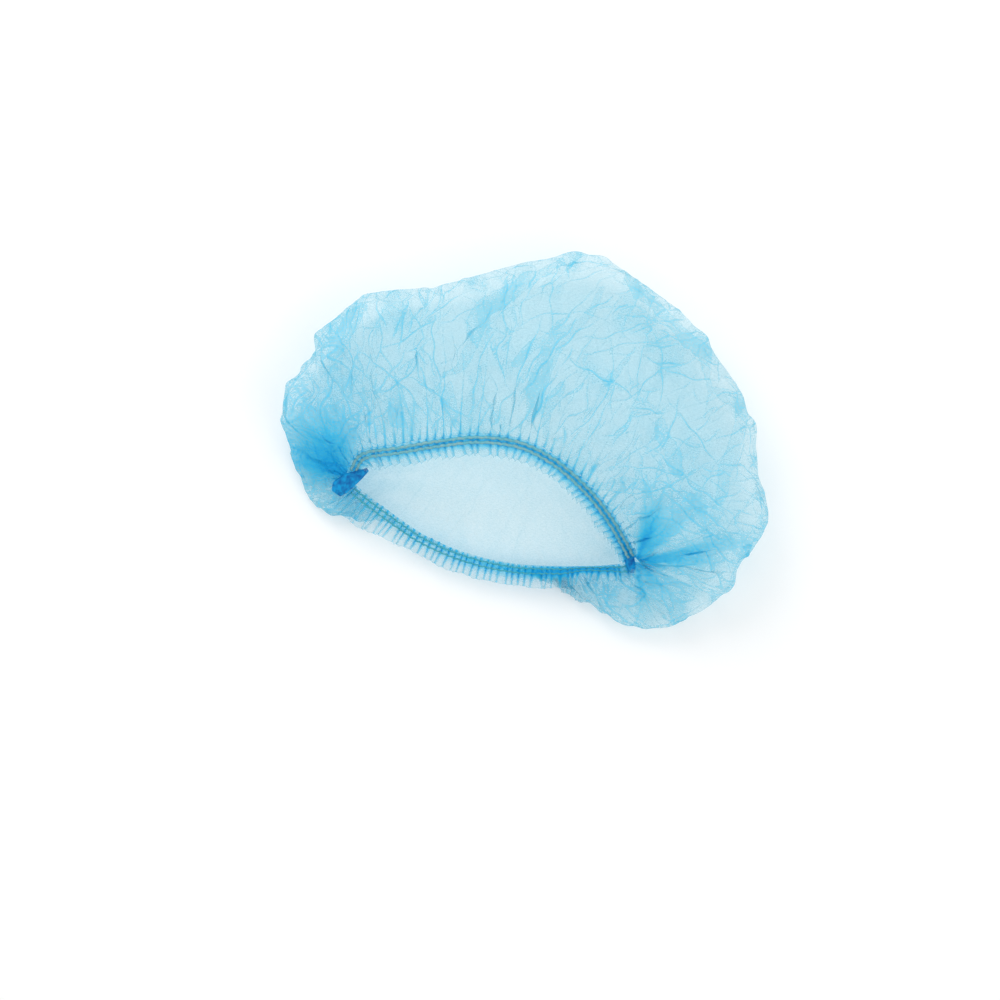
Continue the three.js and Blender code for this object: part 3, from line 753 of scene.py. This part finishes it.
def make_crown():
    """The whole bag: gathered at the elastic, crumpled all over, and flat where it rests."""
    grid, pleat = base_bag()
    away = distances(grid)
    grid = grid + grid_normals(grid) * gathers(pleat, away)[..., None]
    rows = np.arange(grid.shape[0])[:, None]
    on_floor = rows > TOP_ROWS + ROLL_ROWS - 3
    past_edge = rows - TOP_ROWS - EDGE_ROWS
    near_rim = np.clip(away / RIM_CALM_REACH, RIM_LEAST, 1)
    calm = 1 - EDGE_CALM * np.exp(-((past_edge / EDGE_CALM_ROWS) ** 2))
    normals = grid_normals(grid)
    folds, crease, mark = crumple(grid, normals, away, CREASES)
    folds = folds * near_rim * calm
    grid = grid + np.where(on_floor, 0, folds)[..., None] * normals
    grid[..., 2] += np.where(on_floor, np.abs(folds) * 0.7, 0)
    keep_inside(grid)
    layers = 1 + fan_layers(grid) * np.where(rows > TOP_ROWS, 0.35, 1) + 0.8 * np.exp(-away / 5)
    roof = np.where(past_edge > 0, 0.0, 1.0) * np.ones(grid.shape[:2])
    uv = np.stack([np.broadcast_to(pleat / PLEATS_PER_UNIT, away.shape), away * MM], -1)
    pole = grid[-1].mean(0) * (1, 1, 0) + (0, 0, CLOTH_ABOVE_FLOOR)
    # The crease marks drive the painted crease shade in the material; on the floor they count half
    mark = np.where(on_floor, 0.5, 1) * mark
    values = {"layers": layers, "overlap": overlap_field(grid), "roof": roof, "crease": crease, "mark": mark}
    once_round = (UPPER_ARC.count + LOWER_ARC.count) / PLEATS_PER_UNIT
    piece = cloth_mesh("crown_cloth", grid, pole, values, uv, once_round)
    return dress(piece, CLOTH, "crown")


def keep_inside(grid):
    """Fabric may stand a little proud of the frame's box, and no more."""
    low = np.array(cad_box[0]) / MM - (6, 5, -CLOTH_ABOVE_FLOOR)
    high = np.array(cad_box[1]) / MM + (6, 5, 4)
    np.clip(grid, low, high, out=grid)


# The hems

def hem_frame(arc, stations, share):
    """The directions along a hem, across it to its free edge, and up from it."""
    along = arc.tangent(share)
    tilt = np.radians(along_hem(stations, 2, share))
    level = unit(np.stack([along[..., 1], -along[..., 0], np.zeros_like(tilt)], -1))
    across = level * np.cos(tilt)[..., None]
    across[..., 2] = np.sin(tilt)
    across = unit(across - along * (across * along).sum(-1, keepdims=True))
    return along, across, np.cross(across, along)


def make_hem(name, arc, stations, rows=18, per_pleat=24):
    """A ruffled frill: lobes with pinched valleys, tight at the elastic and open at the free edge."""
    margin = 0.35 * SEAM_LENGTH / arc.length
    columns = round(arc.count * per_pleat * (1 - 2 * margin)) + 1
    share = np.linspace(margin, 1 - margin, columns)
    pleat = arc.pleat(share)
    knots = RNG.uniform(-1, 1, arc.count + 2)
    uneven = smooth_noise(pleat, knots)
    lean = smooth_noise(pleat, RNG.uniform(-1, 1, arc.count + 2))
    width = FRILL_WIDTH * along_hem(stations, 1, share) * (1 + 0.07 * smooth_noise(pleat / 1.7, knots))
    wide = np.clip(width / FRILL_WIDTH - 1, 0, 1)
    gathered = along_hem(stations, 3, share)
    along, across, up = hem_frame(arc, stations, share)
    start = arc.point(share)
    lobe = np.abs(np.sin(np.pi * pleat)) ** LOBE_ROUNDNESS - MEAN_LOBE
    side = np.sin(2 * np.pi * pleat)
    grid, layers = [], []
    for row in range(rows + 1):
        out = row / rows
        distance = -FRILL_INSIDE + (width + FRILL_INSIDE) * out
        loose = np.clip((distance - FREE_FROM) / np.maximum(width - FREE_FROM, 1), 0, 1)
        depth = (LOBE_DEPTH + FREE_DEPTH * loose) * (1 + 0.3 * uneven) * np.clip(out / 0.12, 0.3, 1)
        scallop = SCALLOP * loose * lobe * (1 + 0.4 * uneven)
        sway = LOBE_SWAY * arc.pitch * loose**0.8 * side + LOBE_LEAN * lean * np.maximum(distance, 0)
        point = (
            start + across * (distance + scallop)[:, None]
            + up * (FRILL_STAND + depth * lobe)[:, None] + along * sway[:, None]
        )
        point[:, 2] = np.maximum(point[:, 2], FRILL_ABOVE_FLOOR)
        grid.append(point)
        # Most cloth lies at the threads and in the pinched valleys, and a little at the free edge
        tight = np.exp(-((distance - THREADS_MIDDLE) / THREADS_SPREAD) ** 2)
        valley = np.exp(-((np.sin(np.pi * pleat) / (0.5 - 0.28 * loose)) ** 2))
        layers.append(
            1.1 + gathered * tight + valley * (5.0 + 2.6 * tight) * (1 - 0.45 * loose) * (1 - 0.5 * wide)
            + 0.7 * np.exp(-((1 - out) / 0.06) ** 2)
        )
    uv = np.stack([
        np.broadcast_to(pleat / PLEATS_PER_UNIT, (rows + 1, columns)),
        np.broadcast_to(np.linspace(0, FRILL_WIDTH * MM, rows + 1)[:, None], (rows + 1, columns)),
    ], -1)
    piece = cloth_mesh(f"frill_{name}", np.array(grid), None, {"layers": np.array(layers)}, uv, wraps=False)
    return dress(piece, FRILL, f"hem_{name}")


# The elastic threads

def make_elastic(name, arc, stations, distance, deep, steps=460, sides=10):
    """A twisted thread that follows the frill's lobes, thinner and greener where deep is 1."""
    margin = 0.5 * SEAM_LENGTH / arc.length
    share = np.linspace(margin, 1 - margin, steps)
    along, across, up = hem_frame(arc, stations, share)
    pleat = arc.pleat(share)
    wander = 0.35 * np.abs(np.sin(np.pi * pleat)) ** LOBE_ROUNDNESS
    middle = arc.point(share) + across * (distance + 0.2 * np.sin(2 * np.pi * pleat))[:, None]
    middle = middle + up * (THREAD_STAND + wander)[:, None]
    ring = []
    for k in range(sides):
        angle = 2 * np.pi * k / sides + share * arc.length * THREAD_TWIST
        radius = ELASTIC_DIAMETER / 2 * (1.6 - 0.8 * deep + 0.2 * math.cos(4 * math.pi * k / sides))
        outward = across * (np.cos(angle) * radius)[:, None] + up * (np.sin(angle) * radius)[:, None]
        ring.append(middle + outward)
    grid = np.array(ring).transpose(1, 0, 2)
    rows, columns = grid.shape[:2]
    uv = np.stack(np.meshgrid(np.linspace(0, 0.004, columns), share, indexing="xy"), -1)
    piece = cloth_mesh(f"{name}_thread", grid, None, {"deep": np.full((rows, columns), deep)}, uv, 0.004)
    close_ends(piece, rows, columns)
    return dress(piece, ELASTIC, name)


def close_ends(piece, rows, columns):
    """Closes both ends of a tube whose rows are its rings."""
    work = bmesh.new()
    work.from_mesh(piece.data)
    work.verts.ensure_lookup_table()
    work.faces.new([work.verts[k] for k in range(columns)])
    work.faces.new([work.verts[(rows - 1) * columns + k] for k in range(columns)][::-1])
    bmesh.ops.recalc_face_normals(work, faces=work.faces)
    work.to_mesh(piece.data)
    work.free()


# The welded corners

def make_weld(name, stations, rows=44, columns=60):
    """Cloth crushed flat and welded: a thin pad with ridges that run along it."""
    stations = np.array(stations, float)
    at = np.linspace(0, len(stations) - 1, rows)
    middle = np.stack([np.interp(at, np.arange(len(stations)), stations[:, k]) for k in range(4)], -1)
    along = unit(np.gradient(middle[:, :3], axis=0) * (1, 1, 0))
    across = np.stack([-along[:, 1], along[:, 0], np.zeros(rows)], -1)
    turn = 2 * np.pi * np.arange(columns) / columns
    phase = RNG.uniform(0, 6.3, 3)
    ridges = sum(np.sin((5 + 4 * k) * turn + phase[k]) for k in range(3)) / 3
    wide = middle[:, 3:] * (np.cos(turn) * (1 + RIDGES_ACROSS * ridges))
    thick = PAD_THIN + PAD_MORE * np.minimum(middle[:, 3:] / 3, 1) * (1 + RIDGES_UP * ridges)
    rock = 0.5 * np.sin(at * 3.1 + phase[0])[:, None] * np.cos(turn)
    grid = middle[:, None, :3] + across[:, None] * wide[..., None]
    grid[..., 2] += thick * np.sin(turn) + rock
    uv = np.stack(np.meshgrid(np.linspace(0, 0.03, columns), np.linspace(0, 0.03, rows), indexing="xy"), -1)
    piece = cloth_mesh(f"{name}_weld", grid, None, {}, uv, 0.0005)
    close_ends(piece, rows, columns)
    return dress(piece, WELD, name)


# The scene round the part

FLOOR_HALF, FLOOR_DROP = 3.0, 0.0004

# Each lamp's place and size in metres, and its power in watts
LAMPS = {"key": ((-0.9, 0.9, 1.3), 0.9, 11.0), "fill": ((1.2, -0.3, 1.4), 1.4, 6.0)}
SKY_STRENGTH = 0.83


def make_floor():
    mesh = bpy.data.meshes.new("floor")
    corners = [(x * FLOOR_HALF, y * FLOOR_HALF, 0) for x, y in ((-1, -1), (1, -1), (1, 1), (-1, 1))]
    mesh.from_pydata(corners, [], [(0, 1, 2, 3)])
    floor = bpy.data.objects.new("floor", mesh)
    bpy.context.scene.collection.objects.link(floor)
    floor.location.z = -FLOOR_DROP
    material = bpy.data.materials.new("studio_floor")
    material.use_nodes = True
    skin = material.node_tree.nodes["Principled BSDF"]
    skin.inputs["Base Color"].default_value = (0.93, 0.93, 0.93, 1)
    skin.inputs["Roughness"].default_value = 0.8
    mesh.materials.append(material)


def make_lights():
    world = bpy.data.worlds.new("studio")
    bpy.context.scene.world = world
    world.use_nodes = True
    world.node_tree.nodes["Background"].inputs["Color"].default_value = (1, 1, 1, 1)
    world.node_tree.nodes["Background"].inputs["Strength"].default_value = SKY_STRENGTH
    for name, (place, size, power) in LAMPS.items():
        lamp = bpy.data.lights.new(name, "AREA")
        lamp.size = size
        lamp.energy = power
        light = bpy.data.objects.new(name, lamp)
        light.location = place
        light.rotation_euler = (-Vector(place)).to_track_quat("-Z", "Y").to_euler()
        bpy.context.scene.collection.objects.link(light)


# The photograph looks straight down, turned against the mouth's line. It is this wide in the part's
# millimetres at the scale's height
PHOTO_TURN = math.radians(16)
PHOTO_WIDTH = 655.0
PHOTO_CENTRE = (-8.1, -56.9)
CAMERA_HEIGHT, SCALE_HEIGHT, SENSOR = 2500.0, 20.0, 36.0


def make_camera():
    data = bpy.data.cameras.new("camera")
    data.sensor_width = SENSOR
    data.lens = SENSOR * (CAMERA_HEIGHT - SCALE_HEIGHT) / PHOTO_WIDTH
    data.clip_end = 20
    camera = bpy.data.objects.new("camera", data)
    camera.location = (PHOTO_CENTRE[0] * MM, PHOTO_CENTRE[1] * MM, CAMERA_HEIGHT * MM)
    camera.rotation_euler = (0, 0, PHOTO_TURN)
    bpy.context.scene.collection.objects.link(camera)
    bpy.context.scene.camera = camera


make_camera()
make_floor()
make_lights()
crown = make_crown()
trim = [
    make_hem("upper", UPPER_ARC, UPPER_HEM), make_hem("lower", LOWER_ARC, LOWER_HEM),
    make_weld("end_seam_left", LEFT_WELD), make_weld("end_seam_right", RIGHT_WELD),
]
for name, arc, stations, deep in (("upper", UPPER_ARC, UPPER_HEM, 0.0), ("lower", LOWER_ARC, LOWER_HEM, 1.0)):
    trim.append(make_elastic(f"elastic_{name}_inner", arc, stations, ELASTIC_INSET, deep))
    trim.append(make_elastic(f"elastic_{name}_outer", arc, stations, ELASTIC_INSET + ELASTIC_SPACING, deep))

bpy.context.scene.view_settings.view_transform = "Standard"
